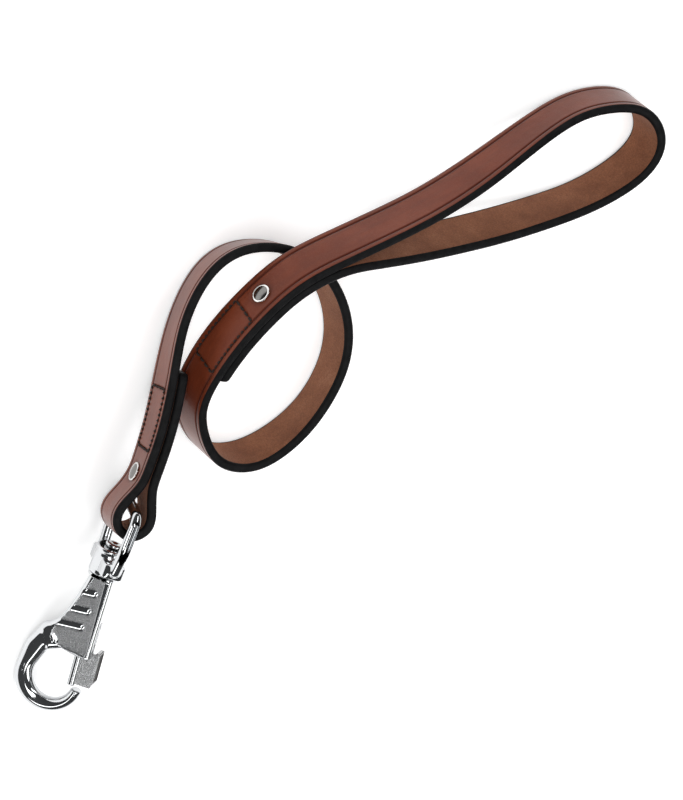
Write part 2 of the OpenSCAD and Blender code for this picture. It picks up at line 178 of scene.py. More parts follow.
class Shader:
    """A short way to write a material's nodes."""

    def __init__(self, name):
        self.material = bpy.data.materials.new(name)
        self.material.use_nodes = True
        self.tree = self.material.node_tree
        self.surface = self.tree.nodes["Principled BSDF"]

    def node(self, kind, **inputs):
        n = self.tree.nodes.new(kind)
        for key, value in inputs.items():
            if hasattr(n, key):
                setattr(n, key, value)
            else:
                self.feed(n.inputs[key.replace("_", " ")], value)
        return n

    def feed(self, socket, value):
        if isinstance(value, bpy.types.NodeSocket):
            self.tree.links.new(value, socket)
        else:
            socket.default_value = value

    def set(self, **inputs):
        for key, value in inputs.items():
            self.feed(self.surface.inputs[key.replace("_", " ")], value)

    def place(self):
        """Object coordinates in millimetres."""
        n = self.node("ShaderNodeMapping", Vector=self.node("ShaderNodeTexCoord").outputs["Object"])
        n.inputs["Scale"].default_value = [1 / MM] * 3
        return n.outputs[0]

    def strip_place(self, stretch):
        """Millimetres along and across the strap, which its mesh carries."""
        strip = self.node("ShaderNodeAttribute", attribute_name="strip").outputs["Vector"]
        n = self.node("ShaderNodeMapping", Vector=strip)
        n.inputs["Scale"].default_value = (*stretch, 1)
        return n.outputs[0]

    def attribute(self, name):
        return self.node("ShaderNodeAttribute", attribute_name=name).outputs["Fac"]

    def noise(self, scale, detail, roughness, place=None):
        n = self.node("ShaderNodeTexNoise", Scale=scale, Detail=detail, Roughness=roughness)
        self.feed(n.inputs["Vector"], place or self.place())
        return n.outputs["Fac"]

    def cells(self, scale):
        """Distance to the nearest of a scatter of points."""
        return self.node("ShaderNodeTexVoronoi", Scale=scale, Vector=self.place()).outputs["Distance"]

    def math(self, operation, a, b=0.0):
        n = self.node("ShaderNodeMath", operation=operation)
        for socket, value in zip(n.inputs, (a, b)):
            self.feed(socket, value)
        return n.outputs[0]

    def spread(self, value, low, high, to_low=0.0, to_high=1.0):
        """A smooth change from to_low to to_high as value goes from low to high."""
        n = self.node("ShaderNodeMapRange", interpolation_type="SMOOTHSTEP")
        for socket, v in zip(n.inputs, (value, low, high, to_low, to_high)):
            self.feed(socket, v)
        return n.outputs[0]

    def ramp(self, value, *stops):
        """A colour from stops of (place, colour)."""
        n = self.node("ShaderNodeValToRGB", Fac=value)
        elements = n.color_ramp.elements
        elements.remove(elements[1])
        elements[0].position, elements[0].color = stops[0][0], (*stops[0][1], 1)
        for at, colour in stops[1:]:
            elements.new(at).color = (*colour, 1)
        return n.outputs["Color"]

    def mix(self, share, a, b):
        """Colour a, with this share of colour b."""
        n = self.node("ShaderNodeMix", data_type="RGBA")
        self.feed(n.inputs["Factor"], share)
        self.feed(n.inputs[6], a if isinstance(a, bpy.types.NodeSocket) else (*a, 1))
        self.feed(n.inputs[7], b if isinstance(b, bpy.types.NodeSocket) else (*b, 1))
        return n.outputs[2]

    def bump(self, height, depth_mm, strength, under=None):
        n = self.node("ShaderNodeBump", Strength=strength, Distance=depth_mm * MM, Height=height)
        if under:
            self.feed(n.inputs["Normal"], under)
        return n.outputs[0]


# ---------------------------------------------------------------- materials

# How far from the strap's middle line its two creases run.
CREASE_AT = 6.9


def grain_leather():
    """Smooth waxed grain: brown with darker creases, pores, scuffs and fine wrinkles where it bends."""
    s = Shader("leather_grain")
    off_middle = s.attribute("off_middle")
    bend = s.attribute("bend")
    pressed_and_shade = s.attribute("pressed_and_shade")
    patches = s.noise(0.035, 4, 0.6)
    streaks = s.noise(0.5, 3, 0.6, s.strip_place((0.12, 1)))
    base = s.ramp(
        patches, (0.3, (0.125, 0.024, 0.009)), (0.5, (0.165, 0.032, 0.012)), (0.7, (0.21, 0.045, 0.018)))
    base = s.mix(s.spread(streaks, 0.35, 0.75, 0, 0.3), base, (0.095, 0.026, 0.014))
    mottle = s.noise(1.9, 4, 0.65)
    base = s.mix(s.spread(mottle, 0.4, 0.8, 0, 0.25), base, (0.26, 0.09, 0.05))
    crease = s.spread(s.math("ABSOLUTE", s.math("SUBTRACT", off_middle, CREASE_AT)), 0.2, 1.1, 1, 0)
    open_crease = s.math("MULTIPLY", crease, s.attribute("creased"))
    base = s.mix(s.math("MULTIPLY", open_crease, 0.75), base, (0.045, 0.009, 0.005))
    base = s.mix(s.spread(off_middle, 8.3, 9.4, 0, 0.4), base, (0.07, 0.02, 0.012))
    # Darker in the stitch holes, along the stitch line and in the rivet's ring: partly pressed leather, partly
    # painted shade in these dents.
    base = s.mix(s.math("MULTIPLY", pressed_and_shade, 0.45), base, (0.04, 0.009, 0.006))
    pores = s.spread(s.cells(3.4), 0.05, 0.22)
    wrinkles = s.math("MULTIPLY", s.noise(1.2, 4, 0.6, s.strip_place((1.5, 0.22))), bend)
    fine = s.noise(5.5, 5, 0.6)
    scratch = s.spread(s.noise(1.1, 3, 0.7, s.strip_place((0.5, 3))), 0.66, 0.72)
    normal = s.bump(pores, 0.02, 0.5)
    normal = s.bump(fine, 0.05, 0.55, normal)
    normal = s.bump(s.noise(0.22, 3, 0.5), 0.6, 0.35, normal)
    normal = s.bump(wrinkles, 0.35, 0.9, normal)
    base = s.mix(s.math("MULTIPLY", scratch, 0.16), base, (0.42, 0.2, 0.13))
    rough = s.math("ADD", s.spread(fine, 0.3, 0.7, 0.34, 0.46), s.math("MULTIPLY", open_crease, 0.15))
    s.set(Base_Color=base, Roughness=rough, Normal=normal)
    s.set(Coat_Weight=1.0, Coat_Roughness=0.3, Coat_IOR=1.22, Specular_IOR_Level=0.06)
    return s.material


def suede():
    """The flesh side: a short nap with darker fibres and a dusty sparkle."""
    s = Shader("leather_suede")
    nap = s.noise(1.6, 6, 0.7)
    clouds = s.noise(0.07, 4, 0.6)
    fibre = s.noise(3.2, 4, 0.75, s.strip_place((0.35, 1)))
    base = s.ramp(
        clouds, (0.3, (0.2, 0.072, 0.034)), (0.55, (0.29, 0.115, 0.056)), (0.75, (0.37, 0.16, 0.085)))
    base = s.mix(s.spread(nap, 0.35, 0.7, 0.55, 0), base, (0.1, 0.037, 0.02))
    base = s.mix(s.spread(fibre, 0.55, 0.78, 0, 0.5), base, (0.42, 0.23, 0.16))
    base = s.mix(s.spread(s.attribute("off_middle"), 8.7, 9.7, 0, 0.85), base, (0.02, 0.014, 0.012))
    normal = s.bump(nap, 0.25, 0.8)
    normal = s.bump(fibre, 0.12, 0.7, normal)
    s.set(Base_Color=base, Roughness=0.88, Normal=normal, Specular_IOR_Level=0.15)
    s.set(Sheen_Weight=0.15, Sheen_Roughness=0.5, Sheen_Tint=(0.9, 0.66, 0.55, 1))
    return s.material


def edge_paint():
    """Thick black edge paint with a soft orange peel."""
    s = Shader("leather_edge_paint")
    peel = s.noise(1.1, 3, 0.55)
    fine = s.noise(6, 3, 0.6)
    base = s.ramp(s.noise(0.3, 4, 0.6), (0.35, (0.002, 0.002, 0.0022)), (0.7, (0.006, 0.006, 0.0065)))
    normal = s.bump(peel, 0.2, 0.6)
    normal = s.bump(fine, 0.03, 0.5, normal)
    s.set(Base_Color=base, Roughness=s.spread(fine, 0.3, 0.7, 0.5, 0.66), Normal=normal)
    s.set(Specular_IOR_Level=0.14)
    return s.material


def waxed_thread():
    """Dark waxed thread with a little fuzz."""
    s = Shader("waxed_thread")
    fuzz = s.noise(9, 4, 0.7)
    base = s.ramp(fuzz, (0.3, (0.006, 0.003, 0.002)), (0.75, (0.035, 0.017, 0.011)))
    s.set(Base_Color=base, Roughness=0.6, Normal=s.bump(fuzz, 0.05, 0.7))
    return s.material


def plated(name, colour, smooth, worn, grain=0.0):
    """Bright plate over a casting: a slow ripple, fine wipe marks and, with grain, a cast skin."""
    s = Shader(name)
    ripple = s.noise(0.32, 2, 0.4)
    wipe = s.noise(2.4, 4, 0.65)
    tint = s.mix(s.spread(wipe, 0.45, 0.8, 0, worn), colour, tuple(c * 0.55 for c in colour))
    rough = s.spread(wipe, 0.35, 0.75, smooth, smooth + 0.1)
    normal = s.bump(ripple, 0.05, 0.2)
    if grain:
        skin = s.noise(1.5, 6, 0.75)
        pits = s.spread(s.cells(1.7), 0.0, 0.35)
        tint = s.mix(s.spread(skin, 0.4, 0.7, 0, 0.7), tint, tuple(c * 0.35 for c in colour))
        rough = s.math("ADD", rough, s.spread(skin, 0.3, 0.7, 0.0, 0.16))
        normal = s.bump(skin, 0.2 * grain, 0.8, normal)
        normal = s.bump(pits, 0.05 * grain, 0.6, normal)
    s.set(Base_Color=tint, Metallic=1.0, Roughness=rough, Normal=normal)
    return s.material


GRAIN, SUEDE, EDGE = grain_leather(), suede(), edge_paint()
THREAD = waxed_thread()
CHROME = plated("bright_chrome", (0.6, 0.61, 0.62), 0.05, 0.2)
CAST = plated("satin_cast_chrome", (0.4, 0.405, 0.41), 0.2, 0.5, 1.8)
THUMB = plated("plated_thumb_metal", (0.55, 0.555, 0.56), 0.16, 0.45, 1.4)
# The plate's hollow is a near-black metal: painted shade in the recess.
THUMB_HOLLOW_SHADE = plated("thumb_hollow_painted_shade", (0.03, 0.026, 0.023), 0.45, 0.5, 0.6)
NICKEL = plated("rivet_nickel", (0.74, 0.73, 0.71), 0.1, 0.25)
# The domes are the rivet's own nickel made darker: a painted dark reflection.
NICKEL_DOME_PAINTED_REFLECTION = plated("rivet_dome_painted_dark_reflection", (0.2, 0.195, 0.185), 0.14, 0.35)
WIRE = plated("spring_wire", (0.5, 0.5, 0.5), 0.3, 0.4)


# ---------------------------------------------------------------- mesh helpers

def mesh_piece(name, points, faces, materials, body, stands_for, faces_of=None):
    """A smooth mesh from points in millimetres, riding on a body. faces_of gives each face's material."""
    mesh = bpy.data.meshes.new(name)
    mesh.from_pydata((np.asarray(points, float) * MM).tolist(), [], [list(f) for f in faces])
    for m in materials:
        mesh.materials.append(m)
    if faces_of is not None:
        mesh.polygons.foreach_set("material_index", np.asarray(faces_of, np.int32))
    mesh.polygons.foreach_set("use_smooth", np.full(len(mesh.polygons), True))
    mesh.validate()
    mesh.update()
    piece = bpy.data.objects.new(name, mesh)
    bpy.context.scene.collection.objects.link(piece)
    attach(piece, body)
    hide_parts(*stands_for)
    return piece


def ring_faces(rings, n):
    """Sides between rings of n points, and the two end caps."""
    i = np.arange(rings - 1)[:, None]
    j = np.arange(n)[None, :]
    a, b = i * n + j, i * n + (j + 1) % n
    c, d = b + n, a + n
    caps = [list(range(n)), [(rings - 1) * n + k for k in range(n - 1, -1, -1)]]
    return np.stack([a, d, c, b], -1).reshape(-1, 4).tolist() + caps


def to_frame(local, axes):
    """Local coordinates to the part's frame."""
    origin, x, y, z = axes
    return origin + local[:, :1] * x + local[:, 1:2] * y + local[:, 2:] * z


# ---------------------------------------------------------------- the strap

# The round of the painted edges.
EDGE_R = 1.45


def strap_section():
    """Places round the strap's section: grain on top, painted round edges, flesh below.

    Returns them with how many lie along half of the top and round one side.
    """
    # Close together where the crease is.
    top = [0, 1.6, 3.2, 4.6, 5.5, 5.9, 6.15, 6.35, 6.5, 6.65, 6.8, 6.95, 7.1, 7.25, 7.4, 7.6, 7.85, 8.2]
    arc = [math.radians(a) for a in (90, 68, 46, 24, 4)]
    half_w, half_t = STRAP_W / 2, STRAP_T / 2
    corner = [(half_w - EDGE_R + EDGE_R * math.cos(a), half_t - EDGE_R + EDGE_R * math.sin(a)) for a in arc]
    right = [(x, half_t) for x in top] + corner
    low_corner = [(x, -y) for x, y in reversed(corner)]
    bottom = [(x, -half_t) for x in (7.2, 5, 2.5, 0)]
    half = right + low_corner + bottom
    whole = half + [(-x, y) for x, y in reversed(half[1:-1])]
    return np.array(whole), len(top), 2 * len(corner)


def stitch_line(box, share):
    """Places on the rectangle of a sewn box: share counts 0 to 1 round it. Returns u and mm across."""
    m = np.asarray(share) * STITCHES % STITCHES
    r, back = m % (STITCHES / 2), m >= STITCHES / 2
    a = np.minimum(r / LONG_STITCHES, 1)
    b = 0.5 - np.maximum(r - LONG_STITCHES, 0) / SHORT_STITCHES
    a, b = np.where(back, 1 - a, a), np.where(back, -b, b)
    return box[0] + a * (box[1] - box[0]), b * BOX_W


def on_face(box, share, face):
    """Points and outward directions on a sewn face. face is the height over the outer layer's middle."""
    u, across = stitch_line(box, share)
    p, _, w, n = strap_at(u)
    out = n if face > 0 else -n
    return p + across[:, None] * w + face * n, out


def make_strap():
    """The leather, with its creases, its waviness and the dents of its stitches and rivets."""
    section, top_n, side_n = strap_section()
    n = len(section)
    # The cut ends have rounded corners and slightly thinned edges.
    corner, thinned, thinned_for = 3.0, 0.6, 0.9
    rough_u = np.linspace(STRAP_START, STRAP_END, 4000)
    spots = strap_at(rough_u)[0]
    walked = np.append(0, np.cumsum(np.linalg.norm(np.diff(spots, axis=0), axis=1)))
    length = walked[-1]
    ends = corner * (1 - np.cos(np.radians(np.linspace(0, 90, 7))))[:-1]
    # Rings lie closer along the two doubled ends and the layer that each is sewn to.
    sewn = (rough_u < 1) | (np.abs(rough_u - 20) < 1.3) | (rough_u > 37)
    sewn_gap, plain_gap = 0.42, 1.1
    rings = np.append(0, np.cumsum(np.diff(walked) / np.where(sewn, sewn_gap, plain_gap)[1:]))
    runs = np.interp(np.arange(0, rings[-1]), rings, walked)
    runs = runs[(runs > corner) & (runs < length - corner)]
    runs = np.concatenate([ends, runs, length - ends[::-1]])
    u = np.interp(runs, walked, rough_u)
    p, t, w, out = strap_at(u)
    turn = np.gradient(t, runs, axis=0)
    bend = np.clip(-10 * (turn * out).sum(-1), 0, 1)
    near = np.minimum(np.minimum(runs, length - runs), corner)
    narrow = corner - np.sqrt(np.maximum(corner**2 - (corner - near) ** 2, 0))
    thin = thinned * (1 - np.minimum(near / thinned_for, 1)) ** 2
    x = section[None, :, 0] * (1 - narrow / (STRAP_W / 2))[:, None]
    y = section[None, :, 1] * (1 - thin / (STRAP_T / 2))[:, None]
    on_top = (section[:, 1] > STRAP_T / 2 - 1e-6)[None, :] & ((runs > 1) & (runs < length - 1))[:, None]
    # The creases fade out where the sewn boxes take their place.
    off = np.abs(section[:, 0])[None, :]
    creased = np.ones(len(u))
    margin, fade = 0.06, 0.1
    for low, high in (HANDLE_BOX, SNAP_BOX):
        creased *= 1 - (
            np.clip((u - low + margin) / fade, 0, 1) * np.clip((high + margin - u) / fade, 0, 1))
    groove_depth, groove_w = 0.34, 0.42
    groove = groove_depth * np.exp(-(((off - CREASE_AT) / groove_w) ** 2)) * creased[:, None]
    points = p[:, None] + x[..., None] * w[:, None] + y[..., None] * out[:, None]
    dent, pressed_and_shade = np.zeros(x.shape), np.zeros(x.shape)
    # No stitch's dent is further than this from the middle of its box.
    box_reach = 32
    # Each rivet presses a shallow ring round itself, darkened partly as pressed leather and partly as painted
    # shade in the ring.
    ring_r, ring_w, ring_depth, ring_dark = 3.9, 0.9, 0.22, 0.6
    for box, rivet_at in ((HANDLE_BOX, HANDLE_RIVET_AT), (SNAP_BOX, SNAP_RIVET_AT)):
        for face in (STRAP_T / 2, BACK_FACE):
            line, _ = on_face(box, np.arange(0, 1, 1 / 640), face)
            holes, _ = on_face(box, np.arange(STITCHES) / STITCHES, face)
            a, _, _, b = strap_at(np.array([rivet_at]))
            button = a + face * b
            # Each dent: its places, how wide and deep it is, and how much it darkens, partly as pressed
            # leather and partly as painted shade in the dent.
            for source, reach, depth, dark in ((line, 0.5, 0.3, 0.35), (holes, 0.5, 0.62, 0.9)):
                tree = KDTree(len(source))
                for k, q in enumerate(source):
                    tree.insert(q, k)
                tree.balance()
                close = np.where((np.linalg.norm(points - source.mean(0), axis=-1) < box_reach) & on_top)
                for i, j in zip(*close):
                    d = tree.find(points[i, j])[2]
                    if d < 3 * reach:
                        fall = math.exp(-((d / reach) ** 2))
                        dent[i, j] = max(dent[i, j], depth * fall)
                        pressed_and_shade[i, j] = min(1, pressed_and_shade[i, j] + dark * fall)
            d = np.linalg.norm(points - button, axis=-1)
            ring = np.exp(-(((d - ring_r) / ring_w) ** 2)) * on_top
            dent = np.maximum(dent, ring_depth * ring)
            pressed_and_shade = np.maximum(pressed_and_shade, ring_dark * ring)
    # The hide's slow waves only go inwards.
    wave = 0.06
    waves = wave * np.sin(runs / 9.0)[:, None] * np.cos(section[:, 0] / 5)[None, :]
    points -= (dent + (groove + waves + wave) * on_top)[..., None] * out[:, None]
    grain, edge, flesh = range(3)
    kinds = np.full(n, edge)
    kinds[: top_n + 1] = grain
    kinds[n - top_n - 1:] = grain
    flesh_first = top_n + side_n - 1
    kinds[flesh_first:n - flesh_first] = flesh
    # The cut ends, last in the list, are painted too.
    kinds = np.append(np.tile(kinds, len(u) - 1), [edge, edge])
    piece = mesh_piece("strap_leather", points.reshape(-1, 3), ring_faces(len(u), n), [GRAIN, EDGE, SUEDE],
                       "leash", ["strap"], faces_of=kinds)
    mesh = piece.data
    for name, values in (
            ("off_middle", np.repeat(off, len(u), 0)),
            ("bend", np.repeat(bend[:, None], n, 1)),
            ("creased", np.repeat(creased[:, None], n, 1)),
            ("pressed_and_shade", pressed_and_shade)):
        layer = mesh.attributes.new(name, "FLOAT", "POINT")
        layer.data.foreach_set("value", values.astype(np.float32).ravel())
    strip = np.zeros((len(u), n, 3), np.float32)
    strip[..., 0] = runs[:, None]
    strip[..., 1] = section[:, 0]
    mesh.attributes.new("strip", "FLOAT_VECTOR", "POINT").data.foreach_set("vector", strip.ravel())


make_strap()


# ---------------------------------------------------------------- stitches

def stitches(name, box, face, stands_for):
    """Saddle stitches: two twisted strands from hole to hole, dipping into the leather at each."""
    rings, sides = 13, 6
    strand_r, twist_r, turns = 0.31, 0.22, 1.5
    # The share of the way between two holes that shows, and how far the stitch stands up and dips.
    shown, stand, dip = 0.76, 0.14, 1.0
    v = np.linspace((1 - shown) / 2, (1 + shown) / 2, rings)
    lift = stand - dip * np.abs((2 * v - 1) / shown) ** 3
    ring_a = 2 * math.pi * np.arange(sides) / sides
    points, faces = [], []
    for k in range(STITCHES):
        line, out = on_face(box, (k + v) / STITCHES, face)
        run = unit(np.gradient(line, axis=0))
        across = np.cross(out, run)
        slant = 0.14 * (v - 0.5) * (1 if k % (STITCHES // 2) < LONG_STITCHES else -1)
        middle = line + out * lift[:, None] + across * slant[:, None]
        for strand in (0, 1):
            a = 2 * math.pi * (turns * v + strand / 2)
            core = middle + twist_r * (np.cos(a)[:, None] * across + np.sin(a)[:, None] * out)
            tube = core[:, None] + strand_r * (
                np.cos(ring_a)[:, None] * across[:, None] + np.sin(ring_a)[:, None] * out[:, None])
            start = len(points)
            points.extend(tube.reshape(-1, 3))
            faces.extend([[start + q for q in f[::-1]] for f in ring_faces(rings, sides)])
    mesh_piece(name, points, faces, [THREAD], "leash", stands_for)


stitches("handle_needle_stitches", HANDLE_BOX, STRAP_T / 2, ["handle_needle_thread"])
stitches("handle_bobbin_stitches", HANDLE_BOX, BACK_FACE, ["handle_bobbin_thread"])
stitches("hook_needle_stitches", SNAP_BOX, STRAP_T / 2, ["hook_needle_thread"])
stitches("hook_bobbin_stitches", SNAP_BOX, BACK_FACE, ["hook_bobbin_thread"])


# ---------------------------------------------------------------- turned pieces

def lathe(name, profile, axes, materials, body, stands_for, split, sides=64):
    """A profile of (height, radius) turned about the axes' Z. From split on it has the second material."""
    profile = np.array(profile, float)
    a = 2 * math.pi * np.arange(sides) / sides
    local = np.stack([
        profile[:, 1:] * np.cos(a), profile[:, 1:] * np.sin(a), np.repeat(profile[:, :1], sides, 1)], -1)
    faces = [f[::-1] for f in ring_faces(len(profile), sides)]
    kinds = np.append(np.repeat((np.arange(len(profile) - 1) >= split).astype(int), sides), [0, 1])
    mesh_piece(name, to_frame(local.reshape(-1, 3), axes), faces, materials, body, stands_for,
               faces_of=kinds)


def rivet_profile(bottom):
    """A dome with a rolled rim, from its seat up."""
    roll = [(0.0, 3.3), (0.02, 3.62)] + [
        (0.33 - 0.33 * math.cos(a), 3.5 + 0.3 * math.sin(a)) for a in np.radians(np.linspace(25, 155, 8))]
    valley = [(0.62, 3.25), (0.6, 3.1)]
    dome = [(0.62 + 0.6 * (1 - (r / 3.1) ** 2), r) for r in (2.95, 2.6, 2.1, 1.5, 0.9, 0.4, 0.05)]
    return [(bottom, 1.4)] + roll + valley + dome


# The dome starts at this point of the profile, after the shank, the rolled rim and the valley; from there on
# it takes the darker nickel of a painted dark reflection.
DOME_FROM = 12


def rivet(prefix, at, back, cap_node, post_node):
    """The two domes of a rivet through the doubled strap. back is the height of the far face."""
    p, t, w, n = (a[0] for a in strap_at(np.array([at])))
    seat = 0.12
    lathe(prefix + "_rivet_cap_dome", rivet_profile(-1.0), (p + (STRAP_T / 2 - seat) * n, t, w, n),
          [NICKEL, NICKEL_DOME_PAINTED_REFLECTION], "leash", [cap_node], DOME_FROM)
    lathe(prefix + "_rivet_post_foot", rivet_profile(-2.0), (p + (back + seat) * n, t, -w, -n),
          [NICKEL, NICKEL_DOME_PAINTED_REFLECTION], "leash", [post_node], DOME_FROM)


# The layers begin to part at the snap's rivet.
rivet("handle", HANDLE_RIVET_AT, BACK_FACE - 0.1, "handle_rivet_cap", "handle_rivet_post")
rivet("hook", SNAP_RIVET_AT, BACK_FACE - 0.7, "hook_rivet_cap", "hook_rivet_post")


# ---------------------------------------------------------------- solids from distance fields

def polygon_distance(points, x, y):
    """Signed distance in the plane to a closed outline, negative inside."""
    d2 = np.full(x.shape, 1e9)
    inside = np.zeros(x.shape, bool)
    for (ax, ay), (bx, by) in zip(points, points[1:] + points[:1]):
        ex, ey = bx - ax, by - ay
        h = np.clip(((x - ax) * ex + (y - ay) * ey) / (ex * ex + ey * ey), 0, 1)
        d2 = np.minimum(d2, (x - ax - h * ex) ** 2 + (y - ay - h * ey) ** 2)
        if ay != by:
            crossing = (ay > y) != (by > y)
            inside ^= crossing & (x < (bx - ax) * (y - ay) / (by - ay) + ax)
    return np.where(inside, -1, 1) * np.sqrt(d2)


def stadium(a, b, x, y):
    """Signed distance to the tapered slot round two circles of (x, y, r)."""
    (ax, ay, ar), (bx, by, br) = a, b
    long = math.hypot(bx - ax, by - ay)
    ex, ey = (bx - ax) / long, (by - ay) / long
    u = (x - ax) * ex + (y - ay) * ey
    v = np.abs((x - ax) * ey - (y - ay) * ex)
    sine = (ar - br) / long
    cosine = math.sqrt(1 - sine * sine)
    k = -sine * v + cosine * u
    side = v * cosine + u * sine - ar
    return np.where(k < 0, np.hypot(u, v) - ar, np.where(k > cosine * long, np.hypot(u - long, v) - br, side))


def circles_distance(circles, x, y):
    """Signed distance to the convex shape round three circles of (x, y, r)."""
    d = polygon_distance([c[:2] for c in circles], x, y)
    for a, b in zip(circles, circles[1:] + circles[:1]):
        d = np.minimum(d, stadium(a, b, x, y))
    return d


def meet(a, b, r):
    """Both a and b, with an outer edge rounded to r."""
    return np.minimum(np.maximum(a, b) + r, 0) + np.hypot(np.maximum(a + r, 0), np.maximum(b + r, 0)) - r


def join(a, b, r):
    """Either a or b, with a fillet of about r."""
    h = np.clip(0.5 + 0.5 * (b - a) / r, 0, 1)
    return b + (a - b) * h - r * h * (1 - h)


def rod_distance(points, r, x, y, z):
    """Distance to a round rod along straight runs."""
    d = np.full(x.shape, 1e9)
    for a, b in zip(points, points[1:]):
        a, b = np.array(a, float), np.array(b, float)
        e = b - a
        h = np.clip(((x - a[0]) * e[0] + (y - a[1]) * e[1] + (z - a[2]) * e[2]) / (e @ e), 0, 1)
        d = np.minimum(d, np.sqrt((x - a[0] - h * e[0]) ** 2 + (y - a[1] - h * e[1]) ** 2
                                  + (z - a[2] - h * e[2]) ** 2))
    return d - r


def barrel(x, radial, low, high, r_out, rounding):
    """A round disc or drum about X."""
    return meet(np.maximum(low - x, x - high), radial - r_out, rounding)


def surface(field, low, high, step):
    """Quads on field = 0 by surface nets, then moved onto the true surface."""
    axes = [np.arange(a, b + step, step) for a, b in zip(low, high)]
    value = field(*np.meshgrid(*axes, indexing="ij"))
    solid = value < 0
    shape = np.array(value.shape)
    total = np.zeros((*(shape - 1), 3))
    count = np.zeros(shape - 1)
    for axis in range(3):
        others = [k for k in range(3) if k != axis]
        for da in (0, 1):
            for db in (0, 1):
                pick0, pick1 = [slice(0, -1)] * 3, [slice(0, -1)] * 3
                pick1[axis] = slice(1, None)
                for k, d in zip(others, (da, db)):
                    pick0[k] = pick1[k] = slice(d, shape[k] - 1 + d)
                v0, v1 = value[tuple(pick0)], value[tuple(pick1)]
                cut = solid[tuple(pick0)] != solid[tuple(pick1)]
                share = np.where(cut, v0 / np.where(cut, v0 - v1, 1), 0)
                at = [0.0, 0.0, 0.0]
                at[others[0]], at[others[1]] = da, db
                for k in range(3):
                    total[..., k] += cut * (share if k == axis else at[k])
                count += cut
    used = count > 0
    number = np.full(used.shape, -1)
    number[used] = np.arange(used.sum())
    cell = np.argwhere(used)
    points = np.array(low) + step * (cell + total[used] / count[used][:, None])
    faces = []
    for axis in range(3):
        b, c = (axis + 1) % 3, (axis + 2) % 3
        inner_cut = [slice(1, -1)] * 3
        inner_cut[axis] = slice(0, -1)
        far = list(inner_cut)
        far[axis] = slice(1, None)
        s0, s1 = solid[tuple(inner_cut)], solid[tuple(far)]
        where = np.argwhere(s0 != s1)
        flip = s0[tuple(where.T)]
        for k in (b, c):
            where[:, k] += 1
        quad = []
        for db, dc in ((-1, -1), (0, -1), (0, 0), (-1, 0)):
            w = where.copy()
            w[:, b] += db
            w[:, c] += dc
            quad.append(number[tuple(w.T)])
        quad = np.stack(quad, 1)
        faces.append(np.where(flip[:, None], quad, quad[:, ::-1]))
    h = 0.02
    for _ in range(4):
        f = field(*points.T)
        slope = np.stack([
            (field(*(points + d).T) - field(*(points - d).T)) / (2 * h) for d in np.eye(3) * h], -1)
        move = (f / np.maximum((slope**2).sum(-1), 0.05))[:, None] * slope
        far = np.linalg.norm(move, axis=1, keepdims=True)
        points = points - move * np.minimum(1, 0.4 * step / np.maximum(far, 1e-9))
    faces = np.concatenate(faces)
    a, b, c = (points[faces[:, k]] for k in range(3))
    if (np.cross(b - a, c - a) * a).sum() < 0:
        faces = faces[:, ::-1]
    return points, faces


def field_piece(name, field, low, high, step, axes, materials, body, stands_for, kind_of=None):
    """A piece from a distance field in local millimetres. kind_of(centres) picks each face's material."""
    points, faces = surface(field, low, high, step)
    kinds = None if kind_of is None else kind_of(points[faces].mean(1))
    mesh_piece(name, to_frame(points, axes), faces, materials, body, stands_for, faces_of=kinds)


# ---------------------------------------------------------------- the swivel eye and its stud

ROD_R = 2.2
EYE_HALF = 22.4 / 2 + ROD_R
BOSS_TOP = -11.5


def eye_field(x, y, z):
    """The eye's rod, its two feet and its boss, in axes at the collar with X towards the claw."""
    side = np.abs(y)
    bend, knee, foot_top = 5.0, -15.0, -8.0
    turn = [
        (-EYE_REACH + bend - bend * math.cos(a), EYE_HALF - bend + bend * math.sin(a), 0)
        for a in np.radians(np.linspace(0, 90, 13))]
    lean = math.tan(math.radians(12))
    path = [(-EYE_REACH, 0, 0)] + turn + [(knee - 1.5, EYE_HALF, 0), (knee, EYE_HALF - 0.1, 0),
                                          (knee + 1.5, EYE_HALF - 1.5 * lean, 0),
                                          (foot_top + 2, EYE_HALF - (foot_top + 2 - knee) * lean, 0)]
    d = rod_distance(path, ROD_R, x, side, z)
    flat = meet(np.abs(z) - 4.6, side - 11.8, 2.6)
    foot = meet(np.maximum(foot_top - x, x + 2.4), flat, 0.7)
    d = join(d, foot, 1.4)
    radial = np.hypot(y, z)
    boss = barrel(x, radial, BOSS_TOP, -0.3, 6.3, 0.5)
    lip = barrel(x, radial, BOSS_TOP, BOSS_TOP + 1.5, 6.6, 0.6)
    boss = np.minimum(boss, lip)
    d = join(d, boss, 0.5)
    groove = np.hypot(x - BOSS_TOP - 2.3, radial - 6.5) - 0.45
    d = meet(d, -groove, 0.15)
    return meet(d, 2.07 - radial, 0.3)


field_piece("swivel_eye_cast", eye_field, (-33.4, -14.6, -7.4), (0.6, 14.6, 7.4), 0.34, EYE_AXES,
            [CHROME], "eye", ["swivel_eye"])


def stud_field(x, y, z):
    """The stud's shaft and its dimpled head inside the eye."""
    radial = np.hypot(y, z)
    head_low, head_high = BOSS_TOP - 1.8, BOSS_TOP - 0.2
    head = barrel(x, radial, head_low, head_high, 3.4, 0.7)
    dimple = np.sqrt((x - head_low + 1.4) ** 2 + radial**2) - 1.9
    head = meet(head, -dimple, 0.2)
    shaft = barrel(x, radial, head_low + 1, 6, 2.0, 0.1)
    return np.minimum(head, shaft)


field_piece("swivel_stud_turned", stud_field, (-14.6, -4, -4), (7, 4, 4), 0.25, BODY_AXES,
            [CHROME], "snap", ["swivel_stud"])


# ---------------------------------------------------------------- the hook body

# All are along the snap and towards its thumb side, from the collar.
BODY = [
    (0, -4.3), (6.5, -5.2), (13.8, -6.6), (20.8, -8.3), (23.2, -9.5), (26.8, -12.4), (29.5, -15),
    (37.5, -9.4), (34.5, -4), (34.5, 7.7), (0, 5.3)]
PANEL = [
    (1.5, -1.6), (4.9, -2.4), (12.9, -4.4), (20.4, -7.1), (25, -9), (30.5, -9.8), (33, -8.2),
    (33.3, 5.6), (31.5, 5.9), (1.5, 2.6)]
